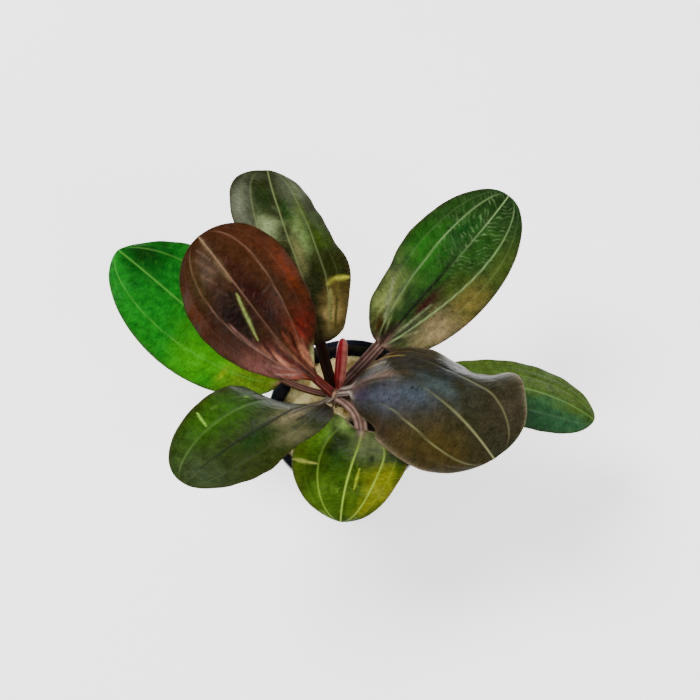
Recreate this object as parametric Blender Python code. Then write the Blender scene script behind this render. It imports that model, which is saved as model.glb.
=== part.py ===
"""A young echinodorus with eight broad leaves, rooted in rockwool in a slotted net pot.

Lengths are in metres, the Z axis points up, and the origin is the middle of the pot's base.
Leaf settings are in millimetres and degrees, and are turned into metres when a leaf is built.
"""
import math

import bmesh
import bpy
import numpy as np

MM = 0.001
GAP = 0.0003

# Net pot: a tapered cup with a flanged lip, two rows of upright slots and a slotted base
POT_HEIGHT = 0.050
LIP_RADIUS = 0.0275
LIP_DROP = 0.0032
MOUTH_RADIUS = 0.0254
NECK_RADIUS = 0.0264
BASE_RADIUS = 0.0180
FLOOR_THICKNESS = 0.0012
WALL_THICKNESS = 0.0010
POT_SIDES = 64
SLOT_COUNT = 16
SLOT_WIDTH = 0.0030
SLOT_ROWS = ((0.006, 0.020), (0.024, 0.038))
FLOOR_SLOT_COUNT = 8
FLOOR_SLOT_SPAN = (0.0075, 0.0148)

# Rockwool plug that fills the pot to just under the lip
WOOL_TOP = 0.0455
WOOL_SIDES = 48
WOOL_DOME = 0.0004
WOOL_SHOULDER = ((0.0, 0.0024), (0.0004, 0.0012), (0.0014, 0.0003))

# Crown: the short upright rootstock that the leaf stalks leave
CROWN_X = -0.0040
CROWN_Y = 0.0076
CROWN_PROFILE = ((0.0015, 0.0), (0.0019, 0.0012), (0.0012, 0.0030), (0.0007, 0.0038))
CROWN_SIDES = 16

# Youngest leaf: still rolled into an upright spear
SPEAR_LENGTH = 21.0
SPEAR_HEADING = 73
SPEAR_RISE = 60
SPEAR_FOOT = (0.8, 1.0, 5.6)
SPEAR_WIDTHS = (0.55, 0.9, 1.15, 1.25, 1.2, 1.05, 0.8, 0.45)
SPEAR_FLATNESS = 0.72

# Leaf skin: half thicknesses and the stations where rings are placed
STALK_HALF_WIDTH = 1.25
STALK_HALF_THICK = 0.75
BLADE_HALF_THICK = 0.42
TIP_HALF_THICK = 0.22
STALK_RINGS = 5
BLADE_STATIONS = (0.03, 0.08, 0.15, 0.23, 0.32, 0.41, 0.50, 0.59, 0.68, 0.77, 0.85, 0.92, 0.965)
ACROSS_STATIONS = (1.0, 0.86, 0.62, 0.36, 0.12, -0.12, -0.36, -0.62, -0.86, -1.0)
SPINE_STEPS = 240

# Each leaf: foot is its start from the origin. heading and rise are the directions of its
# spine at the foot, the stalk's end, mid blade and the tip. halves are the blade's greatest
# half widths, left and right, and shape sets how full it is at the base and at the tip. roll
# turns the blade about its spine. fold lifts both halves from the midrib, and the curls bend
# each half along its width. A wave is (side, place, spread, lift, widening) of a margin.
# lobe_right draws the base of the right half back past the stalk's end.
LEAVES = {
    "leaf_a": {
        "foot": (-5.0, 10.0, 50.0), "heading": (111, 103, 107, 97), "rise": (64, 52, 25, -12),
        "stalk": 18.5, "blade": 64.0, "halves": (19.0, 16.0), "shape": (0.43, 0.36),
        "roll": (-4, 19, 15), "fold": (6, -6), "curl_left": (8, 29, 14),
        "curl_right": (14, -10, -16), "waves": ((-1, 0.35, 0.08, 0.9, 0.13), (-1, 0.62, 0.06, 0.4, 0.02)),
    },
    "leaf_b": {
        "foot": (-5.9, 8.0, 51.5), "heading": (148, 153, 138, 131), "rise": (42, 53, 55, 36),
        "stalk": 7.5, "blade": 69.0, "halves": (20.5, 20.5), "shape": (0.98, 0.47),
        "roll": (4, -16, -1), "fold": (14, 9), "curl_left": (29, 28, 17),
        "curl_right": (17, 37, 22), "waves": (),
    },
    "leaf_c": {
        "foot": (-7.4, 8.1, 48.5), "heading": (176, 154, 139, 133), "rise": (22, 24, 19, -11),
        "stalk": 16.0, "blade": 73.5, "halves": (20.0, 21.5), "shape": (0.56, 0.59),
        "roll": (-1, -8, 6), "fold": (4, -6), "curl_left": (0, 0, 0),
        "curl_right": (0, 0, 0), "waves": (),
    },
    "leaf_d": {
        "foot": (-2.4, 9.6, 50.0), "heading": (39, 39, 41, 42), "rise": (11, 22, 16, 29),
        "stalk": 20.0, "blade": 67.0, "halves": (18.5, 18.0), "shape": (0.45, 0.45),
        "roll": (32, 25, -4), "fold": (16, 4), "curl_left": (11, 13, -10),
        "curl_right": (6, -1, 1), "waves": ((1, 0.15, 0.07, -0.7, 0.1), (1, 0.45, 0.1, 0.9, 0.08)),
    },
    "leaf_e": {
        "foot": (-2.1, 7.3, 51.5), "heading": (-27, -14, -46, -55), "rise": (44, 47, 22, -30),
        "stalk": 5.0, "blade": 67.0, "halves": (26.0, 23.0), "shape": (0.52, 0.38),
        "roll": (-3, -9, 16), "fold": (-12, -6), "curl_left": (-23, -38, 6),
        "curl_right": (-9, -16, -23),
        "waves": ((1, 0.25, 0.1, 1.2, 0.06), (1, 0.75, 0.07, 1.0, 0.12), (-1, 0.3, 0.1, 0.4, 0.0)),
    },
    "leaf_f": {
        "foot": (-0.7, 8.3, 48.0), "heading": (4, -5, -11, -34), "rise": (25, 10, -5, -29),
        "stalk": 20.5, "blade": 69.0, "halves": (10.0, 14.5), "shape": (0.69, 0.51),
        "roll": (-3, -7, -5), "fold": (2, -7), "curl_left": (0, 0, 0),
        "curl_right": (0, 0, 0), "waves": (),
    },
    "leaf_g": {
        "foot": (-6.2, 5.9, 49.5), "heading": (232, 229, 221, 230), "rise": (38, 50, 30, 22),
        "stalk": 5.5, "blade": 72.0, "halves": (15.5, 18.5), "shape": (0.64, 0.48),
        "roll": (21, 1, 7), "fold": (-6, 2), "curl_left": (3, 14, 3),
        "curl_right": (-26, 8, -10), "waves": ((-1, 0.25, 0.08, 0.5, 0.0), (1, 0.5, 0.1, 1.6, -0.13)),
    },
    "leaf_h": {
        "foot": (-2.5, 5.7, 50.0), "heading": (-38, -95, -108, -100), "rise": (3, 32, 24, -50),
        "stalk": 18.5, "blade": 38.5, "halves": (18.0, 20.0), "shape": (0.53, 0.63),
        "roll": (-3, 6, 5), "fold": (7, 3), "curl_left": (-7, 9, 4),
        "curl_right": (6, -2, -7), "lobe_right": 23.0, "waves": (),
    },
}

# Colours in linear RGB, roughness and metallic value of each part
LOOKS = {
    "net_pot": ((0.006, 0.007, 0.012), 0.35),
    "rockwool": ((0.62, 0.55, 0.33), 0.95),
    "crown": ((0.20, 0.12, 0.09), 0.6),
    "leaf_a": ((0.09, 0.11, 0.04), 0.3),
    "leaf_b": ((0.17, 0.04, 0.02), 0.35),
    "leaf_c": ((0.05, 0.22, 0.01), 0.35),
    "leaf_d": ((0.06, 0.15, 0.02), 0.35),
    "leaf_e": ((0.07, 0.07, 0.06), 0.3),
    "leaf_f": ((0.07, 0.10, 0.03), 0.35),
    "leaf_g": ((0.04, 0.07, 0.02), 0.35),
    "leaf_h": ((0.10, 0.15, 0.02), 0.35),
    "young_leaf": ((0.25, 0.02, 0.02), 0.35),
}


def clear_scene():
    """Remove every object that the scene holds."""
    for found in list(bpy.data.objects):
        bpy.data.objects.remove(found, do_unlink=True)


def make_material(name):
    """A Principled material with the colour and roughness listed for the part."""
    colour, roughness = LOOKS[name]
    material = bpy.data.materials.new(name)
    material.use_nodes = True
    shader = material.node_tree.nodes["Principled BSDF"]
    shader.inputs["Base Color"].default_value = (*colour, 1.0)
    shader.inputs["Roughness"].default_value = roughness
    shader.inputs["Metallic"].default_value = 0.0
    return material


def add_object(name, mesh_data, material=None):
    """Close the bmesh into a named object in the scene."""
    bmesh.ops.recalc_face_normals(mesh_data, faces=mesh_data.faces)
    mesh = bpy.data.meshes.new(name)
    mesh_data.to_mesh(mesh)
    mesh_data.free()
    if material:
        mesh.materials.append(material)
    made = bpy.data.objects.new(name, mesh)
    bpy.context.scene.collection.objects.link(made)
    return made


def turn_profile(profile, sides):
    """Spin (radius, height) points about Z into a closed body; both ends lie on the axis."""
    shell = bmesh.new()
    line = [shell.verts.new((radius, 0.0, height)) for radius, height in profile]
    edges = [shell.edges.new(pair) for pair in zip(line[:-1], line[1:])]
    bmesh.ops.spin(
        shell, geom=line + edges, cent=(0.0, 0.0, 0.0), axis=(0.0, 0.0, 1.0),
        angle=2.0 * math.pi, steps=sides, use_merge=True,
    )
    bmesh.ops.remove_doubles(shell, verts=shell.verts, dist=1e-6)
    return shell


def wall_radius(height):
    """Outer radius of the tapered pot wall at a height."""
    share = height / (POT_HEIGHT - LIP_DROP)
    return BASE_RADIUS + (NECK_RADIUS - BASE_RADIUS) * share


def pot_profile():
    """Outline of the pot wall, from the middle of the base out, up and back inside."""
    under_lip = POT_HEIGHT - LIP_DROP
    return [
        (0.0, 0.0), (BASE_RADIUS - 0.0006, 0.0), (BASE_RADIUS, 0.0006), (NECK_RADIUS, under_lip),
        (LIP_RADIUS - 0.0003, under_lip), (LIP_RADIUS, under_lip + 0.0003),
        (LIP_RADIUS, POT_HEIGHT - 0.0003), (LIP_RADIUS - 0.0003, POT_HEIGHT),
        (MOUTH_RADIUS, POT_HEIGHT), (NECK_RADIUS - WALL_THICKNESS, under_lip),
        (BASE_RADIUS - WALL_THICKNESS, FLOOR_THICKNESS), (0.0, FLOOR_THICKNESS),
    ]


def add_block(shell, angle, reach, width, heights):
    """One upright block along a radius, from reach[0] to reach[1] out and between two heights."""
    corners = []
    for height in heights:
        for out, side in ((0, -1), (1, -1), (1, 1), (0, 1)):
            along = reach[out]
            aside = side * width / 2.0
            x = along * math.cos(angle) - aside * math.sin(angle)
            y = along * math.sin(angle) + aside * math.cos(angle)
            corners.append(shell.verts.new((x, y, height)))
    low, high = corners[:4], corners[4:]
    shell.faces.new(low[::-1])
    shell.faces.new(high)
    for k in range(4):
        n = (k + 1) % 4
        shell.faces.new((low[k], low[n], high[n], high[k]))


def make_slot_cutter():
    """All slots of the wall and the base in one cutter."""
    shell = bmesh.new()
    for k in range(SLOT_COUNT):
        angle = 2.0 * math.pi * (k + 0.5) / SLOT_COUNT
        for low, high in SLOT_ROWS:
            reach = (wall_radius(low) - 0.004, wall_radius(high) + 0.002)
            add_block(shell, angle, reach, SLOT_WIDTH, (low, high))
    for k in range(FLOOR_SLOT_COUNT):
        angle = 2.0 * math.pi * k / FLOOR_SLOT_COUNT
        heights = (-FLOOR_THICKNESS, 2.0 * FLOOR_THICKNESS)
        add_block(shell, angle, FLOOR_SLOT_SPAN, SLOT_WIDTH, heights)
    cutter = add_object("slot_cutter", shell)
    cutter.hide_render = True
    cutter.display_type = "WIRE"
    return cutter


def make_pot():
    """The net pot, with its slots cut through by one Boolean."""
    pot = add_object("net_pot", turn_profile(pot_profile(), POT_SIDES), make_material("net_pot"))
    cut = pot.modifiers.new("slots", "BOOLEAN")
    cut.operation = "DIFFERENCE"
    cut.solver = "EXACT"
    cut.object = make_slot_cutter()
    return pot


def make_rockwool():
    """The plug of rockwool, a gap's width clear of the pot on every side."""
    inside = WALL_THICKNESS + GAP
    foot = FLOOR_THICKNESS + GAP
    top_radius = wall_radius(WOOL_TOP - WOOL_SHOULDER[0][1]) - inside
    profile = [
        (0.0, foot), (wall_radius(foot) - inside - 0.0003, foot),
        *((top_radius - inward, WOOL_TOP - down) for inward, down in WOOL_SHOULDER),
        (0.6 * top_radius, WOOL_TOP), (0.0, WOOL_TOP + WOOL_DOME),
    ]
    return add_object("rockwool", turn_profile(profile, WOOL_SIDES), make_material("rockwool"))


def make_crown():
    """The rootstock, standing on the rockwool."""
    foot = WOOL_TOP + WOOL_DOME + GAP
    profile = [(0.0, 0.0)] + [(radius, height) for radius, height in CROWN_PROFILE]
    profile.append((0.0, CROWN_PROFILE[-1][1] + 0.0003))
    crown = add_object("crown", turn_profile(profile, CROWN_SIDES), make_material("crown"))
    crown.location = (CROWN_X, CROWN_Y, foot)
    return crown


def through(knots, values, at):
    """Smooth curve through the values at the knots (piecewise cubic, slopes from neighbours)."""
    knots = np.asarray(knots, float)
    values = np.asarray(values, float)
    span = np.diff(knots)
    steep = np.diff(values) / span
    slope = np.zeros_like(values)
    slope[1:-1] = (steep[:-1] * span[1:] + steep[1:] * span[:-1]) / (knots[2:] - knots[:-2])
    slope[0] = 1.5 * steep[0] - 0.5 * slope[1]
    slope[-1] = 1.5 * steep[-1] - 0.5 * slope[-2]
    k = np.clip(np.searchsorted(knots, at, side="right") - 1, 0, len(knots) - 2)
    t = (at - knots[k]) / span[k]
    start = values[k] * (2 * t**3 - 3 * t**2 + 1) + slope[k] * span[k] * (t**3 - 2 * t**2 + t)
    end = values[k + 1] * (3 * t**2 - 2 * t**3) + slope[k + 1] * span[k] * (t**3 - t**2)
    return start + end


def leaf_spine(leaf):
    """Spine points and frames of a leaf whose foot is at the origin and heads along +X."""
    length = leaf["stalk"] + leaf["blade"]
    joint = leaf["stalk"] / length
    knots = (0.0, joint, (1.0 + joint) / 2.0, 1.0)
    share = np.linspace(0.0, 1.0, SPINE_STEPS + 1)
    heading = np.radians(through(knots, leaf["heading"], share) - leaf["heading"][0])
    rise = np.radians(through(knots, leaf["rise"], share))
    roll = np.radians(through(knots, (leaf["roll"][0] / 2.0, *leaf["roll"]), share))
    level = (np.cos(heading) * np.cos(rise), np.sin(heading) * np.cos(rise), np.sin(rise))
    ahead = np.stack(level, -1)
    steps = 0.5 * (ahead[1:] + ahead[:-1]) * length / SPINE_STEPS
    points = np.vstack([np.zeros(3), np.cumsum(steps, 0)])
    left = np.stack([-np.sin(heading), np.cos(heading), np.zeros_like(heading)], -1)
    up = np.cross(ahead, left)
    cosine, sine = np.cos(roll)[:, None], np.sin(roll)[:, None]
    return share, points, left * cosine + up * sine, up * cosine - left * sine, joint


def blade_width(leaf, u):
    """Share of the greatest half width at u along the blade, nought at the base and the tip."""
    base, tip = leaf["shape"]
    widest = base / (base + tip)
    u = min(max(u, 0.0), 1.0)
    return (u / widest) ** base * ((1.0 - u) / (1.0 - widest)) ** tip


def blade_offset(leaf, u, across):
    """Sideways, upward and backward shift, and tilt, of a point at u along and across a blade."""
    side = 1 if across >= 0.0 else -1
    t = abs(across)
    width = leaf["halves"][0 if side > 0 else 1] * blade_width(leaf, u)
    curl = through((0.0, 0.5, 1.0), leaf["curl_left" if side > 0 else "curl_right"], np.array([u]))
    bend = math.radians(curl[0]) or 1e-4
    fold = math.radians(leaf["fold"][0] + (leaf["fold"][1] - leaf["fold"][0]) * u)
    aside = width * (math.sin(fold + bend * t) - math.sin(fold)) / bend
    lift = width * (math.cos(fold) - math.cos(fold + bend * t)) / bend
    for wave_side, place, spread, height, widening in leaf["waves"]:
        if wave_side == side:
            swell = math.exp(-0.5 * ((u - place) / spread) ** 2) * t * t
            lift += height * swell
            aside *= 1.0 + widening * swell
    lobe = leaf.get("lobe_right", 0.0) if side < 0 else 0.0
    back = lobe * blade_width(leaf, u) * (1.0 - u) ** 3 * t * t
    return side * aside, lift, back, side * (fold + bend * t)


def skin_thickness(u):
    """Half thickness of the leaf: the stalk's, easing into the blade's and the tip's."""
    if u <= 0.0:
        return STALK_HALF_THICK
    ease = min(u / 0.3, 1.0)
    body = STALK_HALF_THICK + (BLADE_HALF_THICK - STALK_HALF_THICK) * ease
    return body + (TIP_HALF_THICK - body) * u**3


def leaf_ring(leaf, spine, share):
    """Closed ring of points round the leaf at a share of its length: top side, then underside."""
    at, points, left, up, joint = spine
    middle, aside, above = (
        np.array([np.interp(share, at, rows[:, k]) for k in range(3)]) for rows in (points, left, up)
    )
    ahead = np.cross(aside, above)
    u = max((share - joint) / (1.0 - joint), 0.0)
    thick = skin_thickness(u)
    stalk = STALK_HALF_WIDTH * (1.0 - u)
    ring = []
    order = [(across, 1) for across in ACROSS_STATIONS]
    order += [(across, -1) for across in ACROSS_STATIONS[-2:0:-1]]
    for across, face in order:
        shift, lift, back, tilt = blade_offset(leaf, u, across) if u > 0.0 else (0.0,) * 4
        shift = math.copysign(math.hypot(shift, stalk * across), across)
        skin = face * thick * math.sqrt(max(1.0 - across * across, 0.0))
        offset = aside * (shift - skin * math.sin(tilt)) + above * (lift + skin * math.cos(tilt))
        ring.append(middle + offset - ahead * back)
    return ring


def skin_rings(rings, tip):
    """Join rings of points into one closed body, capped at the start and drawn to a tip.

    The first half of a ring is the top side. The two sides are split into triangles the same
    way, so that a thin twisted leaf doesn't cross itself.
    """
    shell = bmesh.new()
    loops = [[shell.verts.new(point * MM) for point in ring] for ring in rings]
    shell.faces.new(loops[0][::-1])
    for first, second in zip(loops[:-1], loops[1:]):
        for k in range(len(first)):
            n = (k + 1) % len(first)
            on_top = k < len(first) // 2
            shell.faces.new((first[k], first[n], second[n] if on_top else second[k]))
            shell.faces.new((first[k] if on_top else first[n], second[n], second[k]))
    end = shell.verts.new(tip * MM)
    last = loops[-1]
    for k in range(len(last)):
        shell.faces.new((last[k], last[(k + 1) % len(last)], end))
    return shell


def make_leaf(name, plant):
    """One leaf, stalk and blade in one piece, set at its foot and turned to its heading."""
    leaf = LEAVES[name]
    spine = leaf_spine(leaf)
    joint = spine[4]
    shares = [joint * k / STALK_RINGS for k in range(STALK_RINGS + 1)]
    shares += [joint + (1.0 - joint) * u for u in BLADE_STATIONS]
    rings = [leaf_ring(leaf, spine, share) for share in shares]
    made = add_object(name, skin_rings(rings, spine[1][-1]), make_material(name))
    made.parent = plant
    foot = np.array(leaf["foot"]) * MM - np.array(plant.location)
    made.location = foot
    made.rotation_euler = (0.0, 0.0, math.radians(leaf["heading"][0]))
    return made


def make_young_leaf(plant):
    """The rolled youngest leaf: flattened rings along a straight, nearly upright spear."""
    rise = math.radians(SPEAR_RISE)
    ahead = np.array([math.cos(rise), 0.0, math.sin(rise)])
    above = np.array([-math.sin(rise), 0.0, math.cos(rise)])
    count = len(SPEAR_WIDTHS)
    rings = []
    for k, width in enumerate(SPEAR_WIDTHS):
        middle = ahead * SPEAR_LENGTH * k / count
        turns = [2.0 * math.pi * j / 12 for j in range(12)]
        side = np.array([0.0, 1.0, 0.0])
        rings.append([
            middle + width * (side * math.cos(a) + above * SPEAR_FLATNESS * math.sin(a))
            for a in turns
        ])
    tip = ahead * SPEAR_LENGTH
    made = add_object("young_leaf", skin_rings(rings, tip), make_material("young_leaf"))
    made.parent = plant
    made.location = np.array(SPEAR_FOOT) * MM
    made.rotation_euler = (0.0, 0.0, math.radians(SPEAR_HEADING))
    return made


def build():
    """Pot, rockwool, crown and leaves."""
    clear_scene()
    make_pot()
    make_rockwool()
    make_crown()
    plant = bpy.data.objects.new("plant", None)
    plant.location = (CROWN_X, CROWN_Y, WOOL_TOP)
    bpy.context.scene.collection.objects.link(plant)
    for name in LEAVES:
        make_leaf(name, plant)
    make_young_leaf(plant)


build()
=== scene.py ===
import math

import bpy
import numpy as np
from mathutils import Matrix


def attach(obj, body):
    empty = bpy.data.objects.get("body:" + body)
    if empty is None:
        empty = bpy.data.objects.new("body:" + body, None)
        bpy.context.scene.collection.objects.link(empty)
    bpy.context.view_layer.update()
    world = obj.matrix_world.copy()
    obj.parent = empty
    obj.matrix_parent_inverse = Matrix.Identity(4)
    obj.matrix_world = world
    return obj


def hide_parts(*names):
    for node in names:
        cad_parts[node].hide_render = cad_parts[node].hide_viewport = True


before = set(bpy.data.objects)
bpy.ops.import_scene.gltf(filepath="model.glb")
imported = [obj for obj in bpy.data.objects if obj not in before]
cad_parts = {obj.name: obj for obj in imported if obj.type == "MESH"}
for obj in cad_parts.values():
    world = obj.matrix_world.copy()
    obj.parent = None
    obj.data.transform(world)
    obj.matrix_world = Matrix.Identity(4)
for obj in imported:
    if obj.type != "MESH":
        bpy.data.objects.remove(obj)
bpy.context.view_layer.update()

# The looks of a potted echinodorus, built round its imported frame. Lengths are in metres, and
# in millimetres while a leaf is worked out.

# Camera
# The plant is seen steeply from above its front side, from about 42 cm away, with the camera
# turned a few degrees. The arc of the pot's lip fixes the view.
VIEW_PLACE = (0.0020, -0.1584, 0.4396)
VIEW_DOWN = 65.0
VIEW_TURN = -4.5
VIEW_LENS = 63.72

tilt_up = Matrix.Rotation(math.radians(90.0 - VIEW_DOWN), 4, "X")
turn = Matrix.Rotation(math.radians(VIEW_TURN), 4, "Z")
camera = bpy.data.objects.new("view", bpy.data.cameras.new("view"))
camera.data.lens = VIEW_LENS
camera.matrix_world = Matrix.Translation(VIEW_PLACE) @ tilt_up @ turn
bpy.context.scene.collection.objects.link(camera)
bpy.context.scene.camera = camera

# Net pot
# A small injection-moulded basket of dark plastic, with a flanged lip and slots through its
# wall and base. It is one piece, about 1 mm thick, and stands on its base.
POT_ROWS = (
    (0.0075, 0.0), (0.0148, 0.0), (0.0174, 0.0), (0.0180, 0.0006), (0.01908, 0.0060),
    (0.02031, 0.0130), (0.02159, 0.0200), (0.02231, 0.0240), (0.02349, 0.0310), (0.02482, 0.0380),
    (0.0264, 0.0468), (0.0272, 0.0468), (0.0275, 0.0471), (0.0275, 0.0497), (0.0272, 0.0500),
    (0.0257, 0.0500), (0.0254, 0.0498), (0.0254, 0.0468), (0.02382, 0.0380), (0.02249, 0.0310),
    (0.02131, 0.0240), (0.02059, 0.0200), (0.01931, 0.0130), (0.01808, 0.0060), (0.01722, 0.0016),
    (0.0168, 0.0012), (0.0148, 0.0012), (0.0075, 0.0012),
)
POT_COLUMNS = 192
OPEN_WALL_ROWS = (4, 5, 7, 8)
WALL_SLOT_PITCH = 12
WALL_SLOT_CELLS = (4, 7)
BASE_SLOT_PITCH = 24
BASE_SLOT_HALF = 4
POT_CREASE = 40.0
POT_DARK = "0e0f1e"
POT_GREY = "1e2238"


def paint(code):
    """Linear red, green and blue of a colour written as six hexadecimal digits."""
    shown = np.array([int(code[k:k + 2], 16) for k in (0, 2, 4)]) / 255.0
    return np.where(shown < 0.04045, shown / 12.92, ((shown + 0.055) / 1.055) ** 2.4)


def add_piece(name, points, faces, material, values=None):
    """Mesh object of the points and faces. values are point attributes, one row a point."""
    mesh = bpy.data.meshes.new(name)
    mesh.from_pydata(points, [], faces)
    for key, rows in (values or {}).items():
        if key == "blade":
            layer = mesh.uv_layers.new(name="blade")
            corner = np.empty(len(mesh.loops), np.int32)
            mesh.loops.foreach_get("vertex_index", corner)
            layer.data.foreach_set("uv", rows[corner].astype(np.float32).ravel())
        elif rows.ndim == 2:
            made = mesh.attributes.new(key, "FLOAT_COLOR", "POINT")
            full = np.hstack([rows, np.ones((len(rows), 1))])
            made.data.foreach_set("color", full.astype(np.float32).ravel())
        else:
            mesh.attributes.new(key, "FLOAT", "POINT").data.foreach_set("value", rows.astype(np.float32))
    mesh.shade_smooth()
    mesh.materials.append(material)
    mesh.validate()
    mesh.update()
    piece = bpy.data.objects.new(name, mesh)
    bpy.context.scene.collection.objects.link(piece)
    return piece


def grid_faces(rows, columns):
    """Quads between the rows of a point grid whose last column joins the first."""
    r = np.arange(rows - 1)[:, None]
    c = np.arange(columns)[None, :]
    n = (c + 1) % columns
    corners = (r * columns + c, r * columns + n, (r + 1) * columns + n, (r + 1) * columns + c)
    return np.stack(corners, -1)


def node(material, kind, **settings):
    """New shader node of the kind, with its sockets and properties set."""
    made = material.node_tree.nodes.new(kind)
    for key, value in settings.items():
        name = key.replace("_", " ").title()
        if name in made.inputs:
            made.inputs[name].default_value = value
        else:
            setattr(made, key, value)
    return made


def join(material, source, target):
    """Link one socket to another."""
    material.node_tree.links.new(source, target)


def noise(material, place, scale, detail, **settings):
    """Strength of a noise texture that is read at the place."""
    made = node(material, "ShaderNodeTexNoise", scale=scale, detail=detail, **settings)
    join(material, place, made.inputs["Vector"])
    return made.outputs["Fac"]


def drawn_out(material, source, **settings):
    """The source's numbers taken from one range to another."""
    made = node(material, "ShaderNodeMapRange", **settings)
    join(material, source, made.inputs["Value"])
    return made.outputs["Result"]


def new_material(name, **settings):
    """Material with a Principled shader whose constants are set, and the shader itself."""
    material = bpy.data.materials.new(name)
    material.use_nodes = True
    shader = material.node_tree.nodes["Principled BSDF"]
    for key, value in settings.items():
        shader.inputs[key.replace("_", " ").title()].default_value = value
    return material, shader


def two_tones(material, factor, low, high, stops=(0.0, 1.0)):
    """Colour ramp from one colour to another between two stops, driven by the factor."""
    ramp = node(material, "ShaderNodeValToRGB")
    for stop, place, code in zip(ramp.color_ramp.elements, stops, (low, high)):
        stop.position = place
        stop.color = (*paint(code), 1.0)
    join(material, factor, ramp.inputs["Fac"])
    return ramp.outputs["Color"]


def add_bump(material, shader, height, strength, distance):
    """Bump of the height, strength and distance on the shader."""
    bump = node(material, "ShaderNodeBump", strength=strength, distance=distance)
    join(material, height, bump.inputs["Height"])
    join(material, bump.outputs["Normal"], shader.inputs["Normal"])


def pot_material():
    """Dark satin plastic: faint cloudy wear in its colour and a fine moulded grain."""
    material, shader = new_material("net_pot_plastic", roughness=0.4)
    shader.inputs["Specular IOR Level"].default_value = 0.3
    place = node(material, "ShaderNodeTexCoord").outputs["Object"]
    cloud = noise(material, place, 160.0, 5.0)
    colour = two_tones(material, cloud, POT_DARK, POT_GREY, (0.35, 0.75))
    join(material, colour, shader.inputs["Base Color"])
    rough = drawn_out(material, cloud, to_min=0.28, to_max=0.5)
    join(material, rough, shader.inputs["Roughness"])
    add_bump(material, shader, noise(material, place, 2600.0, 2.0), 0.25, 0.0001)
    return material


def pot_shell():
    """The pot's closed profile turned round Z, with the cells of each slot left out.

    A point is (r cos a, r sin a, z), for each profile row (r, z) and each column angle a. The
    row i outside faces the row n - 1 - i inside, and the rim of each slot joins the two.
    """
    rows = np.array(POT_ROWS)
    count = len(rows)

    def inner(index):
        return (count - 1 - index // POT_COLUMNS) * POT_COLUMNS + index % POT_COLUMNS

    cell = np.arange(POT_COLUMNS)
    angle = 2.0 * np.pi * cell / POT_COLUMNS
    radius, height = rows[:, :1], np.repeat(rows[:, 1:], POT_COLUMNS, 1)
    points = np.stack([radius * np.cos(angle), radius * np.sin(angle), height], -1).reshape(-1, 3)
    shut = np.ones((count // 2 - 1, POT_COLUMNS), bool)
    across = cell % WALL_SLOT_PITCH
    shut[list(OPEN_WALL_ROWS)] = (across < WALL_SLOT_CELLS[0]) | (across > WALL_SLOT_CELLS[1])
    across = cell % BASE_SLOT_PITCH
    shut[0] = (across >= BASE_SLOT_HALF) & (across < BASE_SLOT_PITCH - BASE_SLOT_HALF)
    whole = np.ones((1, POT_COLUMNS), bool)
    quads = grid_faces(count, POT_COLUMNS)
    faces = [quads[np.concatenate([shut, whole, shut[::-1]])]]
    outside = quads[: len(shut)]
    beside, above = np.roll(shut, 1, 1), np.vstack([whole, shut[:-1]])
    for upright, there in ((True, beside), (False, above)):
        a, b = outside[..., 0], outside[..., 3 if upright else 1]
        rim = np.stack([a, b, inner(b), inner(a)], -1)
        gone, kept = rim[~shut & there], rim[shut & ~there]
        faces += [gone[:, ::-1], kept] if upright else [gone, kept[:, ::-1]]
    faces = np.concatenate(faces).tolist()
    for ring, turn_round in ((0, True), (count - 1, False)):
        points = np.vstack([points, [[0.0, 0.0, rows[ring, 1]]]])
        edge = ring * POT_COLUMNS + cell
        pair = (edge, np.roll(edge, -1))
        pole = np.full(POT_COLUMNS, len(points) - 1)
        faces += np.stack([*(pair[::-1] if turn_round else pair), pole], -1).tolist()
    return points, faces


net_pot = add_piece("net_pot_shell", *pot_shell(), pot_material())
net_pot.data.set_sharp_from_angle(angle=math.radians(POT_CREASE))
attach(net_pot, "root")
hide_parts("net_pot")

# Rockwool
# A plug of spun mineral fibre, torn by hand and pressed round the roots. Its top is lumpy, with
# clefts between the tufts and a torn hollow under the front leaves, painted nearly black as shade,
# and loose fibres lie all over it. TUFTS are (x, y, half width, height), and HOLLOW is (x, y, half widths,
# depth).
WOOL_TOP = 0.0455
WOOL_SHOULDER = 0.0435
WOOL_RIM = 0.0236
WOOL_FOOT = (0.0166, 0.0022)
WOOL_FLARE = 0.19
WOOL_ROWS = 90
WOOL_COLUMNS = 180
WOOL_PROFILE = (
    (0.0, 0.0016), (0.0160, 0.0016), (0.0166, 0.0022), (0.0238, 0.0405), (0.0243, 0.0432),
    (0.0234, 0.0450), (0.0180, 0.0456), (0.0, 0.0458),
)
HOLLOW = (0.0025, -0.0040, 0.0075, 0.0058, 0.0060)
TUFTS = (
    (-0.0192, 0.0090, 0.0036, 0.0012), (-0.0214, 0.0060, 0.0030, 0.0008),
    (-0.0140, 0.0065, 0.0026, 0.0010), (-0.0040, 0.0190, 0.0034, 0.0010),
    (0.0036, 0.0172, 0.0032, 0.0012), (0.0020, 0.0215, 0.0030, 0.0006),
)
WOOL_PALE = "ffedac"
WOOL_SHADE = "a4863c"
# Painted shade in the hollow, nearly black.
WOOL_PAINTED_SHADE = "1c1408"
FIBRE_COUNT = 2600
FIBRE_RADIUS = 0.00005
FIBRE_RINGS = 6


def ripple(points, size, seed, waves=16):
    """Mean of sines along random directions, each with a wavelength near the size."""
    draw = np.random.default_rng(seed)
    heading = draw.normal(size=(waves, 3))
    heading /= np.linalg.norm(heading, axis=1)[:, None]
    heading *= 2.0 * np.pi / (size * draw.uniform(0.7, 1.5, waves))[:, None]
    phase = draw.uniform(0.0, 2.0 * np.pi, waves)
    return np.sin(points @ heading.T + phase).mean(-1) * math.sqrt(waves / 2.0)


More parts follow.
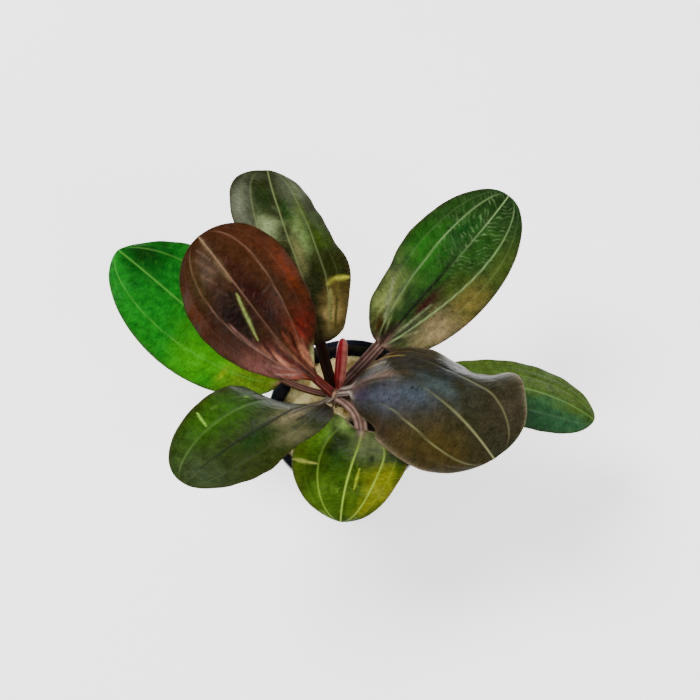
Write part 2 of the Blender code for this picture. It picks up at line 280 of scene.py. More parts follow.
def hollow(x, y):
    """Share of the torn hollow at a place, exp(-(dx/a)^2 - (dy/b)^2) round its middle; its wool is painted
    dark as shade.
    """
    at_x, at_y, along_x, along_y, _ = HOLLOW
    return np.exp(-(((x - at_x) / along_x) ** 2) - ((y - at_y) / along_y) ** 2)


def wool_top(x, y):
    """Height added to the plug's top: tufts less clefts and the hollow, plus rough lumps."""
    flat = np.stack([x, y, np.zeros_like(x)], -1)
    lumps = ripple(flat, 0.0050, 11) * 0.00035 + ripple(flat, 0.0020, 12) * 0.00018
    cleft = -0.0012 * np.exp(-(ripple(flat, 0.0075, 13) / 0.22) ** 2)
    tufts = sum(
        high * np.exp(-((x - at_x) ** 2 + (y - at_y) ** 2) / wide**2) for at_x, at_y, wide, high in TUFTS
    )
    return lumps + cleft + tufts - HOLLOW[4] * hollow(x, y)


def inside_rim(radius):
    """Share that the lumps have of their height: none at the plug's rim, all 4 mm inside it."""
    return np.clip((WOOL_RIM - radius) / 0.004, 0.0, 1.0)


def hollow_shade_share(points):
    """The hollow's share at points of the plug's upper part, and none lower down: the mask of the painted
    shade.
    """
    return np.where(points[:, 2] > 0.03, hollow(points[:, 0], points[:, 1]), 0.0)


def capped_faces(rows, columns):
    """Quads of a tube of rings, and a fan from each end ring to its pole, the last two points."""
    faces = grid_faces(rows, columns).reshape(-1, 4).tolist()
    first = np.arange(columns)
    last = first + columns * (rows - 1)
    pole = np.full(columns, columns * rows)
    faces += np.stack([np.roll(first, -1), first, pole], -1).tolist()
    faces += np.stack([last, np.roll(last, -1), pole + 1], -1).tolist()
    return faces


def wool_plug():
    """The plug's profile turned round Z, its top raised by wool_top and its side by lumps."""
    line = np.array(WOOL_PROFILE)
    run = np.r_[0.0, np.cumsum(np.hypot(*np.diff(line, axis=0).T))]
    at = np.linspace(0.0, run[-1], WOOL_ROWS)[1:-1]
    radius, height = np.interp(at, run, line[:, 0]), np.interp(at, run, line[:, 1])
    angle = 2.0 * np.pi * np.arange(WOOL_COLUMNS) / WOOL_COLUMNS
    x, y = radius[:, None] * np.cos(angle), radius[:, None] * np.sin(angle)
    z = np.repeat(height[:, None], WOOL_COLUMNS, 1)
    z = z + (z > WOOL_SHOULDER) * inside_rim(radius)[:, None] * wool_top(x, y)
    body = np.stack([x, y, z], -1)
    squeeze = 1.0 - 0.008 * (1.0 + ripple(body, 0.0035, 14)) * (height[:, None] > 0.002)
    body = body * np.stack([squeeze, squeeze, np.ones_like(squeeze)], -1)
    crest = line[-1, 1] + float(wool_top(np.zeros(1), np.zeros(1))[0])
    points = np.vstack([body.reshape(-1, 3), [[0.0, 0.0, line[0, 1]], [0.0, 0.0, crest]]])
    return points, capped_faces(len(at), WOOL_COLUMNS), {"hollow": hollow_shade_share(points)}


def strands(starts, reach, seed, lift, radius):
    """Tubes of three sides along arcs: start + t reach + lift t (1 - t) up + a slow sideways wave."""
    draw = np.random.default_rng(seed)
    count = len(starts)
    t = np.linspace(0.0, 1.0, FIBRE_RINGS)[None, :, None]
    sideways = np.cross(reach, [0.0, 0.0, 1.0])
    swing, bends = draw.uniform(-0.25, 0.25, (count, 1, 1)), draw.uniform(1.0, 2.2, (count, 1, 1))
    wave = swing * np.sin(np.pi * t * bends)
    path = starts[:, None] + t * reach[:, None] + wave * sideways[:, None]
    path[..., 2] += (lift[:, None, None] * t * (1.0 - t))[..., 0]
    ahead = np.gradient(path, axis=1)
    ahead /= np.linalg.norm(ahead, axis=-1, keepdims=True)
    side = np.cross(ahead, [0.13, 0.21, 0.97])
    side /= np.linalg.norm(side, axis=-1, keepdims=True)
    over = np.cross(ahead, side)
    thin = radius * np.sqrt(np.clip(1.0 - (2.0 * t - 1.0) ** 6, 0.02, 1.0))
    corner = [2.0 * np.pi * k / 3.0 for k in range(3)]
    rings = [path + thin * (math.cos(a) * side + math.sin(a) * over) for a in corner]
    points = np.stack(rings, 2).reshape(-1, 3)
    one = grid_faces(FIBRE_RINGS, 3).reshape(-1, 4)
    step = (np.arange(count) * FIBRE_RINGS * 3)[:, None, None]
    faces = (one[None] + step).reshape(-1, 4).tolist()
    last = 3 * (FIBRE_RINGS - 1)
    ends = np.array([[2, 1, 0], [last, last + 1, last + 2]])
    return points, faces + (ends[None] + step).reshape(-1, 3).tolist()


def wool_fibres():
    """Loose fibres lying on the plug's top, the first two thirds, and combed round its side."""
    draw = np.random.default_rng(21)
    count, top = FIBRE_COUNT, FIBRE_COUNT * 2 // 3
    turn_to = draw.uniform(0.0, 2.0 * np.pi, count)
    far = 0.0225 * np.sqrt(draw.uniform(0.0, 1.0, count))
    starts = np.stack([far * np.cos(turn_to), far * np.sin(turn_to), np.full(count, WOOL_TOP + 0.0003)], -1)
    starts[:, 2] += wool_top(starts[:, 0], starts[:, 1]) * inside_rim(far)
    length = draw.uniform(0.0015, 0.0045, count)
    aim = draw.uniform(0.0, 2.0 * np.pi, count)
    reach = np.stack([length * np.cos(aim), length * np.sin(aim), draw.normal(0.0, 0.0004, count)], -1)
    low = draw.uniform(0.003, 0.042, count - top)
    wall = (WOOL_FOOT[0] + WOOL_FLARE * (low - WOOL_FOOT[1])) * 0.992
    out_x, out_y = np.cos(turn_to[top:]), np.sin(turn_to[top:])
    starts[top:] = np.stack([wall * out_x, wall * out_y, low], -1)
    around = np.stack([-out_y, out_x, draw.normal(0.0, 0.4, len(low))], -1)
    reach[top:] = around * np.minimum(length[top:], 0.0025)[:, None]
    end = starts + reach
    on_top = np.arange(count) < top
    beside = WOOL_FOOT[0] + 0.0001 + WOOL_FLARE * (starts[:, 2] - WOOL_FOOT[1])
    limit = np.where(on_top, WOOL_RIM - 0.0004, beside)
    pull = np.minimum(1.0, limit / np.hypot(end[:, 0], end[:, 1]))[:, None]
    reach[:, :2] = end[:, :2] * pull - starts[:, :2]
    lift = np.where(on_top, draw.uniform(0.0, 0.0014, count), 0.0)
    return strands(starts, reach, 22, lift, FIBRE_RADIUS)


def laid_over(material, below, code, share):
    """A colour laid over the one below it, as far as the share says."""
    made = node(material, "ShaderNodeMix", data_type="RGBA")
    made.inputs["B"].default_value = (*paint(code), 1.0)
    join(material, share, made.inputs["Factor"])
    join(material, below, made.inputs["A"])
    return made.outputs["Result"]


def wool_material():
    """Cream fibre, brown in random patches, painted nearly black as shade in the hollow, and dull all over.
    """
    material, shader = new_material("rockwool_fibre", roughness=0.9, sheen_weight=0.25)
    place = node(material, "ShaderNodeTexCoord").outputs["Object"]
    colour = two_tones(material, noise(material, place, 330.0, 6.0), WOOL_SHADE, WOOL_PALE, (0.3, 0.58))
    # The hollow's share lays a nearly black painted shade over the fibre's colour.
    deep = node(material, "ShaderNodeAttribute", attribute_name="hollow").outputs["Fac"]
    cover = drawn_out(material, deep, from_min=0.15, from_max=0.6)
    join(material, laid_over(material, colour, WOOL_PAINTED_SHADE, cover), shader.inputs["Base Color"])
    comb = noise(material, place, 1500.0, 3.0, distortion=1.5)
    add_bump(material, shader, comb, 0.7, 0.0004)
    return material


wool_finish = wool_material()
plug_points, plug_faces, plug_values = wool_plug()
plug = add_piece("rockwool_plug", plug_points, plug_faces, wool_finish, plug_values)
fibre_points, fibre_faces = wool_fibres()
fibre_values = {"hollow": hollow_shade_share(fibre_points)}
fibres = add_piece("rockwool_fibres", fibre_points, fibre_faces, wool_finish, fibre_values)
for piece in (plug, fibres):
    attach(piece, "root")
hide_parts("rockwool")

# Rootstock
# The short upright stem that every leaf grows from. It is fleshy, ringed by the scars of older
# leaves, and a few pale roots leave its foot and go down into the rockwool.
HEART = (-0.0040, 0.0076)
STOCK_PROFILE = (
    (0.0, 0.0440), (0.0016, 0.0444), (0.0024, 0.0456), (0.0027, 0.0468), (0.0024, 0.0484),
    (0.0018, 0.0500), (0.0010, 0.0508), (0.0, 0.0510),
)
STOCK_RINGS = 38
STOCK_COLUMNS = 36
ROOT_COUNT = 14
ROOT_RADIUS = 0.00035
STOCK_DARK = "3a1a12"
STOCK_PALE = "a98a70"


def stock_body():
    """Profile turned round the heart, each radius times 1 + 0.06 sin of the height in rings of
    about 1 mm + 0.10 sin of five times the angle, which turns with the height."""
    line = np.array(STOCK_PROFILE)
    run = np.linspace(0.0, len(line) - 1.0, STOCK_RINGS + 2)[1:-1]
    radius = np.interp(run, np.arange(len(line)), line[:, 0])[:, None]
    height = np.interp(run, np.arange(len(line)), line[:, 1])[:, None]
    angle = 2.0 * np.pi * np.arange(STOCK_COLUMNS)[None] / STOCK_COLUMNS
    wide = radius * (1.0 + 0.06 * np.sin(height * 6000.0) + 0.10 * np.sin(5.0 * angle + height * 900.0))
    x, y = HEART[0] + wide * np.cos(angle), HEART[1] + wide * np.sin(angle)
    grid = np.stack(np.broadcast_arrays(x, y, height), -1)
    points = np.vstack([grid.reshape(-1, 3), [[*HEART, line[0, 1]], [*HEART, line[-1, 1]]]])
    return points, capped_faces(STOCK_RINGS, STOCK_COLUMNS)


def stock_roots():
    """Roots as arcs from the rootstock's foot out and down into the rockwool."""
    aim = 2.0 * np.pi * (np.arange(ROOT_COUNT) + 0.3) / ROOT_COUNT
    out = 0.0040 + 0.0012 * np.sin(3.7 * np.arange(ROOT_COUNT))
    flat = np.stack([np.cos(aim), np.sin(aim), np.zeros(ROOT_COUNT)], -1)
    starts = 0.0016 * flat + [*HEART, 0.0466]
    reach = out[:, None] * flat - [0.0, 0.0, 0.0034]
    return strands(starts, reach, 31, np.full(ROOT_COUNT, 0.0030), ROOT_RADIUS)


def stock_material():
    """Fleshy tan tissue with red-brown streaks and a soft gloss."""
    material, shader = new_material("rootstock_flesh", roughness=0.45)
    place = node(material, "ShaderNodeTexCoord").outputs["Object"]
    cloud = noise(material, place, 700.0, 4.0)
    colour = two_tones(material, cloud, STOCK_DARK, STOCK_PALE, (0.35, 0.7))
    join(material, colour, shader.inputs["Base Color"])
    add_bump(material, shader, cloud, 0.4, 0.0003)
    return material


stock_finish = stock_material()
stock = add_piece("rootstock_body", *stock_body(), stock_finish)
roots = add_piece("rootstock_roots", *stock_roots(), stock_finish)
for piece in (stock, roots):
    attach(piece, "root")
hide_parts("crown")

# Leaves
# Eight leaves, each grown in one piece: a grooved stalk that clasps the rootstock, a sunken
# midrib and laterals that run in arcs from base to tip, and puckered tissue between the veins.

# A leaf's lengths are in millimetres and its angles in degrees. Each triple holds the values at
# the base, middle and tip of the blade. u runs from the blade's base (0) to its tip (1), and
# across from its right margin (-1) over the midrib (0) to the left one (1).
USUAL_LEAF = {
    "stalk_half": 1.3, "lobe_right": 0.0, "pleats": 0.15, "pitch": 2.3, "rungs": 0.2, "rung_side": 0.0,
    "rung_place": 0.6, "left_lateral": 1.0, "fine": 0.22, "rim": "3c2a18", "streaks": (),
    "curl_left": (0, 0, 0), "curl_right": (0, 0, 0), "waves": (), "gloss": 0.05, "shine": 0.22,
}
MIDRIB_HALF, LATERAL_HALF, FINE_HALF, RUNG_HALF = 0.42, 0.24, 0.22, 0.24
SKIN_AT_BASE, SKIN = 0.75, 0.30
BLOTCH_SHADE = "c4c4c4"
HEART_HEIGHT = 46.6
STALK_ROWS = 26
SHEATH_ROWS = 9
BLADE_ROWS = 210
ACROSS = 91
STEPS = 400
THIRDS = (0.0, 0.5, 1.0)


def through(knots, values, at):
    """Smooth curve through the values at the knots (piecewise cubic, slopes from neighbours)."""
    knots, values = np.asarray(knots, float), np.asarray(values, float)
    span = np.diff(knots)
    steep = np.diff(values) / span
    slope = np.zeros_like(values)
    slope[1:-1] = (steep[:-1] * span[1:] + steep[1:] * span[:-1]) / (knots[2:] - knots[:-2])
    slope[0] = 1.5 * steep[0] - 0.5 * slope[1]
    slope[-1] = 1.5 * steep[-1] - 0.5 * slope[-2]
    k = np.clip(np.searchsorted(knots, at, side="right") - 1, 0, len(knots) - 2)
    t = (at - knots[k]) / span[k]
    start = values[k] * (2 * t**3 - 3 * t**2 + 1) + slope[k] * span[k] * (t**3 - 2 * t**2 + t)
    end = values[k + 1] * (3 * t**2 - 2 * t**3) + slope[k + 1] * span[k] * (t**3 - t**2)
    return start + end


def leaf_spine(leaf):
    """Points and frames along a leaf, in millimetres, and how far along the blade each one is.

    The spine is the sum of steps whose heading and rise pass through the leaf's four angles.
    Before the foot, a curve (1-e)^2 foot + 2 e (1-e) bend + e^2 heart joins it to the rootstock.
    """
    length = leaf["stalk"] + leaf["blade"]
    joint = leaf["stalk"] / length
    knots = (0.0, joint, (1.0 + joint) / 2.0, 1.0)
    share = np.linspace(0.0, 1.0, STEPS + 1)
    heading = np.radians(through(knots, leaf["heading"], share))
    rise = np.radians(through(knots, leaf["rise"], share))
    roll = np.radians(through(knots, (leaf["roll"][0] / 2.0, *leaf["roll"]), share))
    ahead = np.stack([np.cos(heading) * np.cos(rise), np.sin(heading) * np.cos(rise), np.sin(rise)], -1)
    steps = 0.5 * (ahead[1:] + ahead[:-1]) * length / STEPS
    points = np.vstack([np.zeros(3), np.cumsum(steps, 0)]) + leaf["foot"]
    level = np.stack([-np.sin(heading), np.cos(heading), 0.0 * heading], -1)
    above = np.cross(ahead, level)
    cosine, sine = np.cos(roll)[:, None], np.sin(roll)[:, None]
    left, up = level * cosine + above * sine, above * cosine - level * sine
    k = np.linspace(0.0, 1.0, BLADE_ROWS + 1)[1:-1]
    blade = (1.0 - np.cos(np.pi * k)) / 2.0 * 0.5 + 0.5 * k
    at = np.r_[np.linspace(0.0, joint, STALK_ROWS), joint + (1.0 - joint) * blade]
    middle, left, up = (
        np.stack([np.interp(at, share, rows[:, c]) for c in range(3)], -1) for rows in (points, left, up)
    )
    e = np.linspace(1.0, 0.0, SHEATH_ROWS, endpoint=False)[:, None]
    heart, foot = np.array([HEART[0] * 1000.0, HEART[1] * 1000.0, HEART_HEIGHT]), points[0]
    heart = heart + (foot - heart) * [0.35, 0.35, 0.0]
    bend = foot - ahead[0] * 1.8
    sheath = e**2 * heart + 2.0 * e * (1.0 - e) * bend + (1.0 - e) ** 2 * foot
    middle = np.vstack([sheath, middle])
    left = np.vstack([np.repeat(left[:1], SHEATH_ROWS, 0), left])
    up = np.vstack([np.repeat(up[:1], SHEATH_ROWS, 0), up])
    u = np.r_[np.zeros(SHEATH_ROWS + STALK_ROWS), blade]
    sheathing = np.r_[e[:, 0], np.zeros(STALK_ROWS + len(blade))]
    return middle, left, up, u, sheathing, points[-1]


def swell(leaf, u, side, t):
    """Lift and widening of a margin from the leaf's waves, each a bell along it times t^2."""
    lift, wider = np.zeros_like(t * u), np.zeros_like(t * u)
    for wave_side, place, spread, height, widening in leaf["waves"]:
        bell = np.exp(-0.5 * ((u - place) / spread) ** 2) * t * t * (side == wave_side)
        lift, wider = lift + height * bell, wider + widening * bell
    return lift, wider


def blade_half(leaf, u, side):
    """Half width of the blade at u: the leaf's greatest half width times a skewed arch."""
    base, end = leaf["shape"]
    widest = base / (base + end)
    full = (u / widest) ** base * ((1.0 - u) / (1.0 - widest)) ** end
    return np.where(side > 0, leaf["halves"][0], leaf["halves"][1]) * full


def pressed(leaf, u, across, reach):
    """Place of each point on the blade when it is pressed flat, in millimetres."""
    return np.stack(np.broadcast_arrays(u * leaf["blade"], across * reach, 0.0), -1)


def vein_lines(leaf, u, across, reach):
    """How strongly veins show, and the relief they leave, as bells over each line.

    The midrib is at 0, a lateral at its share of the half width, a finer line halfway from there
    to the margin, and rungs run out from the midrib at a slant between them.
    """
    side = np.where(across >= 0.0, 0, 1)
    t = np.abs(across)
    place = np.where(side == 0, through(THIRDS, leaf["veins"][0], u), through(THIRDS, leaf["veins"][1], u))
    fade = np.clip(u / 0.08, 0.0, 1.0) * np.clip((1.0 - u) / 0.05, 0.0, 1.0)
    flat = pressed(leaf, u, across, reach)
    uneven = np.clip(0.75 + 0.45 * ripple(flat, 9.0, leaf["seed"] + 20), 0.0, 1.0)
    middle = np.exp(-((across * reach) / (MIDRIB_HALF - 0.2 * u)) ** 2)
    lateral = np.exp(-(((t - place) * reach) / LATERAL_HALF) ** 2) * fade
    fine = np.exp(-(((t - 0.5 - 0.5 * place) * reach) / FINE_HALF) ** 2) * fade
    pitch = leaf["pitch"]
    bent = 0.6 * ripple(flat, 7.0, leaf["seed"]) + 0.28 * ripple(flat, 2.6, leaf["seed"] + 10)
    cell = (u * leaf["blade"] - 0.8 * t * reach) / pitch + 0.37 * side + bent
    rung = np.abs((cell % 1.0) - 0.5) * pitch
    broken = np.clip(0.35 + 0.9 * ripple(flat, 3.2, leaf["seed"] + 70), 0.0, 1.0)
    lean = np.exp(-(((across - leaf["rung_side"]) / 0.75) ** 2))
    cross = np.exp(-(rung / RUNG_HALF) ** 2) * fade * (1.0 - t**4) * broken * lean
    strong = np.maximum(through(THIRDS, leaf["midrib"], u), 0.0) * np.clip(u / 0.03, 0.0, 1.0)
    plain = through(THIRDS, leaf["laterals"], u) * (0.6 + 0.4 * uneven)
    plain = np.maximum(plain, 0.0) * np.where(side == 0, leaf["left_lateral"], 1.0)
    rungs = leaf["rungs"] * np.exp(-(((u - leaf["rung_place"]) / 0.35) ** 2))
    seen = np.maximum.reduce([strong * middle, plain * lateral, leaf["fine"] * plain * fine, rungs * cross])
    depth = 0.34 * middle * (1.0 - 0.4 * u) + 0.24 * lateral + 0.08 * fine + 0.15 * rungs * cross
    halfway = (1.0 + place) / 2.0
    outer = np.where(t < halfway, (t - place) / ((1.0 - place) / 2.0), 0.0)
    band = np.where(t < place, t / place, outer)
    pucker = 0.11 * np.abs(np.sin(np.pi * (cell + 0.5))) * np.abs(np.sin(np.pi * band)) * fade
    dimple = 0.03 * ripple(flat, 2.6, leaf["seed"] + 30) * fade
    return seen, pucker + dimple + 0.12 * pleats(leaf, u, across, reach) - depth


def pleats(leaf, u, across, reach):
    """Long narrow ripples that run up from the leaf's base and die out by mid blade."""
    along = pressed(leaf, u, across, reach) * [0.10, 1.0, 1.0]
    return leaf["pleats"] * ripple(along, 1.7, leaf["seed"] + 60) * np.exp(-((u / 0.42) ** 2))


def covered(tone, code, share):
    """The tone with a colour laid over it by its share at each point."""
    return tone * (1.0 - share[..., None]) + paint(code) * share[..., None]


def leaf_colours(leaf, u, across, reach, top):
    """Colour at each point: base colour, then patches and streaks, a shading of the pleats, stalk and margin
    laid over it. Some patches and streaks, and the pleats' shading, are painted light and shade.

    A patch is (u, across, half length, half width, edge, colour) and covers exp(-d^edge), where d
    is the squared distance from its middle in those halves, roughened by a slow ripple. A streak
    is (u, across, u, across, half width w in mm, colour): a spindle that covers exp(-(d/w)^2 / q)
    at the distance d from the line between its ends, with q = 1.05 - (2 s - 1)^2 along it.
    """
    tone = np.broadcast_to(paint(leaf["colour"]), (*u.shape, 3)).copy()
    flat = pressed(leaf, u, across, reach)
    ragged = np.exp(0.5 * ripple(flat, 6.0, leaf["seed"] + 40))
    for at_u, at_across, long, wide, edge, code in leaf["patches"]:
        d = (((u - at_u) / long) ** 2 + ((across - at_across) / wide) ** 2) * ragged
        tone = covered(tone, code, np.exp(-(d**edge)))
    for u_0, across_0, u_1, across_1, wide, code in leaf["streaks"]:
        ends = [
            np.array([at * leaf["blade"], where * float(blade_half(leaf, at, where))])
            for at, where in ((u_0, across_0), (u_1, across_1))
        ]
        line = ends[1] - ends[0]
        along = np.clip(((flat[..., :2] - ends[0]) @ line) / (line @ line), 0.0, 1.0)
        d = np.linalg.norm(flat[..., :2] - ends[0] - along[..., None] * line, axis=-1)
        spindle = 1.05 - (2.0 * along - 1.0) ** 2
        tone = covered(tone, code, np.exp(-((d / wide) ** 2) / spindle * ragged))
    # Painted shade and light: the pleats darken the colour in their grooves and lighten it on their crests.
    tone = tone * np.exp(1.1 * pleats(leaf, u, across, reach))[..., None]
    stripe = (0.5 + 0.5 * np.sin(across * 9.0 + leaf["seed"]))[..., None]
    flesh = paint(leaf["stalk_colour"]) * stripe + paint(leaf["groove_colour"]) * (1.0 - stripe)
    near = np.exp(-((across * reach / 1.6) ** 2)) * np.exp(-((u / 0.12) ** 2))
    near = np.maximum(near, np.exp(-((u / 0.03) ** 2)))[..., None]
    tone = tone * (1.0 - near) + flesh * near
    tone = covered(tone, leaf["rim"], np.abs(across) ** 30 * 0.8 * np.clip(u / 0.1, 0.0, 1.0))
    return covered(tone, leaf["underside"], np.where(top, 0.0, 0.55))


def with_poles(rows):
    """Rows for the points of a tube, with the first and the last again for its two poles."""
    return np.concatenate([rows, rows[:1], rows[-1:]])


def leaf_mesh(leaf):
    """Closed surface of a leaf, its vein strength, colour with its painted light and shade, and place on the
    blade.

    A point is spine + left (s - n sin k) + up (h + n cos k) - ahead b. For the share t of the
    half width w from the midrib, s = w (sin(f + c t) - sin f) / c and h = w (cos f - cos(f + c t)) / c
    are an arc that leaves the midrib at the fold f and bends by the curl c; k is its slope, b draws
    a basal lobe back, and n is the skin's half thickness, plus the puckers and less the veins.
    """
    middle, left, up, u, sheathing, tip = leaf_spine(leaf)
    line = np.linspace(1.0, -1.0, ACROSS)
    line = 0.55 * line + 0.45 * np.sin(line * np.pi / 2.0)
    across = np.r_[line, line[-2:0:-1]]
    top = (np.arange(len(across)) < ACROSS)[None]
    u, across = u[:, None], across[None]
    side = np.where(across >= 0.0, 1, -1)
    t = np.abs(across)
    half = blade_half(leaf, u, side)
    curl = np.where(side > 0, through(THIRDS, leaf["curl_left"], u), through(THIRDS, leaf["curl_right"], u))
    curl = np.radians(np.where(np.abs(curl) < 0.01, 0.01, curl))
    fold = np.radians(leaf["fold"][0] + (leaf["fold"][1] - leaf["fold"][0]) * u)
    lift, wider = swell(leaf, u, side, t)
    aside = half * (np.sin(fold + curl * t) - np.sin(fold)) / curl * (1.0 + wider)
    lift = lift + half * (np.cos(fold) - np.cos(fold + curl * t)) / curl
    slope = side * (fold + curl * t)
    back = leaf["lobe_right"] / leaf["halves"][1] * (side < 0) * half * (1.0 - u) ** 3 * t * t
    stalk = leaf["stalk_half"] * (1.0 - u) * (1.0 + 0.5 * sheathing[:, None] ** 2)
    shift = side * np.hypot(aside, stalk * t)
    reach = np.hypot(half, stalk)
    wide_u, wide_across = np.broadcast_arrays(u, across)
    seen, relief = vein_lines(leaf, wide_u, wide_across, reach)
    blade = np.clip(u / 0.12, 0.0, 1.0)
    edge = (1.0 - t ** (2.0 + 6.0 * blade)) ** 0.5
    skin = SKIN_AT_BASE + (SKIN - SKIN_AT_BASE) * np.clip(u / 0.3, 0.0, 1.0)
    skin = skin * (1.0 - 0.35 * t * blade) * edge
    rib = 0.55 * np.exp(-((across * reach) / 0.8) ** 2) * (1.0 - u) ** 0.8 * blade
    rolling = ripple(pressed(leaf, u, across, reach), 13.0, leaf["seed"] + 50)
    margin = np.sin(u * leaf["blade"] / 1.35 + leaf["seed"]) * t**8 * 0.16
    soft = np.clip((1.0 - u) / 0.06, 0.0, 1.0)
    surface = (relief + 0.22 * rolling + margin) * blade * soft
    groove = -0.28 * np.exp(-((across / 0.35) ** 2)) * (1.0 - blade) * np.where(top, 1.0, 0.0)
    n = np.where(top, skin + groove, -skin - rib) + surface
    ahead = np.cross(left, up)
    points = (
        middle[:, None]
        + left[:, None] * (shift - n * np.sin(slope))[..., None]
        + up[:, None] * (lift + n * np.cos(slope))[..., None]
        - ahead[:, None] * back[..., None]
    )
    rows, columns = points.shape[:2]
    points = np.vstack([points.reshape(-1, 3), middle[:1], tip[None]]) * 0.001
    tone = leaf_colours(leaf, wide_u, wide_across, reach, top).reshape(-1, 3)
    where = pressed(leaf, u, across, reach)[..., :2].reshape(-1, 2) / 10.0
    values = {"vein": with_poles(seen.reshape(-1)), "tone": with_poles(tone), "blade": with_poles(where)}
    return points, capped_faces(rows, columns), values


def multiplied(material, one, other):
    """Two colours multiplied."""
    made = node(material, "ShaderNodeMix", data_type="RGBA", blend_type="MULTIPLY")
    made.inputs["Factor"].default_value = 1.0
    join(material, one, made.inputs["A"])
    join(material, other, made.inputs["B"])
    return made.outputs["Result"]


def leaf_material(name, vein_colour, gloss, shine):
    """Leaf skin: pigment with painted light and shade and veins from the mesh, blotches and fine streaks, and
    an uneven gloss.
    """
    material, shader = new_material(name, coat_weight=gloss, coat_roughness=0.2)
    shader.inputs["Specular IOR Level"].default_value = shine
    place = node(material, "ShaderNodeTexCoord").outputs["Object"]
    blade = node(material, "ShaderNodeUVMap", uv_map="blade").outputs["UV"]
    tone = node(material, "ShaderNodeAttribute", attribute_name="tone").outputs["Color"]
    vein = node(material, "ShaderNodeAttribute", attribute_name="vein").outputs["Fac"]
    cloud = noise(material, place, 330.0, 6.0, roughness=0.62)
    blotch = two_tones(material, cloud, BLOTCH_SHADE, "ffffff", (0.34, 0.62))
    slant = node(material, "ShaderNodeMapping")
    slant.inputs["Rotation"].default_value = (0.0, 0.0, 0.9)
    slant.inputs["Scale"].default_value = (26.0, 6.0, 1.0)
    join(material, blade, slant.inputs["Vector"])
    streak = noise(material, slant.outputs["Vector"], 1.0, 4.0, roughness=0.6)
    lines = two_tones(material, streak, BLOTCH_SHADE, "ffffff", (0.35, 0.6))
    tinted = multiplied(material, tone, multiplied(material, blotch, lines))
    cells = node(material, "ShaderNodeTexVoronoi", feature="DISTANCE_TO_EDGE", scale=9.0)
    join(material, blade, cells.inputs["Vector"])
    net = drawn_out(material, cells.outputs["Distance"], from_min=0.0, from_max=0.08, to_min=0.05, to_max=0.0)
    veins = node(material, "ShaderNodeMath", operation="MAXIMUM")
    join(material, vein, veins.inputs[0])
    join(material, net, veins.inputs[1])
    veined = laid_over(material, tinted, vein_colour, veins.outputs["Value"])
    join(material, veined, shader.inputs["Base Color"])
    rough = drawn_out(material, cloud, from_min=0.3, from_max=0.7, to_min=0.26, to_max=0.44)
    join(material, rough, shader.inputs["Roughness"])
    height = node(material, "ShaderNodeMath", operation="MULTIPLY_ADD")
    height.inputs[1].default_value = 0.6
    join(material, noise(material, place, 1400.0, 3.0), height.inputs[0])
    join(material, cells.outputs["Distance"], height.inputs[2])
    add_bump(material, shader, height.outputs["Value"], 0.35, 0.00025)
    return material


def grow(name, own):
    """Make one leaf with its material and set it on the body in place of its CAD node."""
    leaf = {**USUAL_LEAF, **own}
    points, faces, values = leaf_mesh(leaf)
    skin = leaf_material(name + "_skin", leaf["vein_colour"], leaf["gloss"], leaf["shine"])
    piece = add_piece(name + "_blade", points, faces, skin, values)
    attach(piece, "root")
    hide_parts(name)


# Leaf A
# The tall back leaf: olive, its grey gloss painted on as pale grey patches, and yellower low on its
# right, painted as light coming through, below a hard-edged painted shadow. Its dark stalk rises
# from the back of the rootstock, behind the rolled leaf.
grow("leaf_a", {
    "foot": (-5.0, 10.0, 50.0), "heading": (111, 103, 107, 97), "rise": (64, 52, 25, -12),
    "stalk": 18.5, "blade": 63.99, "halves": (19.0, 16.0), "shape": (0.43, 0.36),
    "roll": (-4, 19, 15), "fold": (6, -6), "curl_left": (8, 29, 14), "curl_right": (14, -10, -16),
    "waves": ((-1, 0.05, 0.03, 0.0, 0.10), (-1, 0.35, 0.08, 0.9, 0.13), (-1, 0.62, 0.06, 0.4, 0.02)),
    "veins": ((0.48, 0.50, 0.50), (0.42, 0.53, 0.55)), "seed": 1, "midrib": (0.0, 0.4, 0.6),
    "laterals": (0.1, 0.5, 0.2),
    "colour": "22240d", "vein_colour": "7c8a58", "underside": "6a6a48",
    "stalk_colour": "2a1610", "groove_colour": "140a08", "stalk_half": 1.9, "shine": 0.06, "gloss": 0.02,
    # Painted light and shade: the pale grey patch high on the left margin is a painted highlight, the yellow
    # patches and streaks low on the right are painted light coming through, and the dark patch just beyond
    # them is a painted shadow.
    "patches": (
        (0.60, -0.30, 0.12, 0.18, 1, "7a9555"), (0.55, -0.75, 0.16, 0.30, 1, "32470d"),
        (0.82, 0.28, 0.12, 0.22, 1, "192b08"), (0.78, 0.80, 0.12, 0.22, 1, "6c735a"),
        (0.88, -0.65, 0.10, 0.40, 1, "576042"), (0.72, -0.15, 0.08, 0.12, 1, "133808"),
        (0.39, -0.62, 0.08, 0.50, 2, "222509"), (0.18, -0.65, 0.12, 0.50, 3, "4c3e18"),
        (0.15, -0.50, 0.05, 0.25, 1, "bea361"), (0.03, -0.60, 0.04, 0.60, 1, "6e6035"),
        (0.50, -0.12, 0.10, 0.12, 1, "6d6d41"), (0.66, 0.30, 0.06, 0.20, 1, "8a9b6a"),
        (0.72, -0.50, 0.07, 0.14, 1, "465a1d"), (0.96, 0.30, 0.04, 0.30, 1, "393c29"),
    ),
    "streaks": (
        (0.315, -0.66, 0.29, -0.99, 0.7, "b0b03c"), (0.29, -0.48, 0.315, -0.70, 0.6, "848430"),
        (0.06, -0.72, 0.28, -0.72, 0.5, "4c4418"), (0.10, -0.50, 0.27, -0.55, 0.8, "7c7840"),
    ),
})

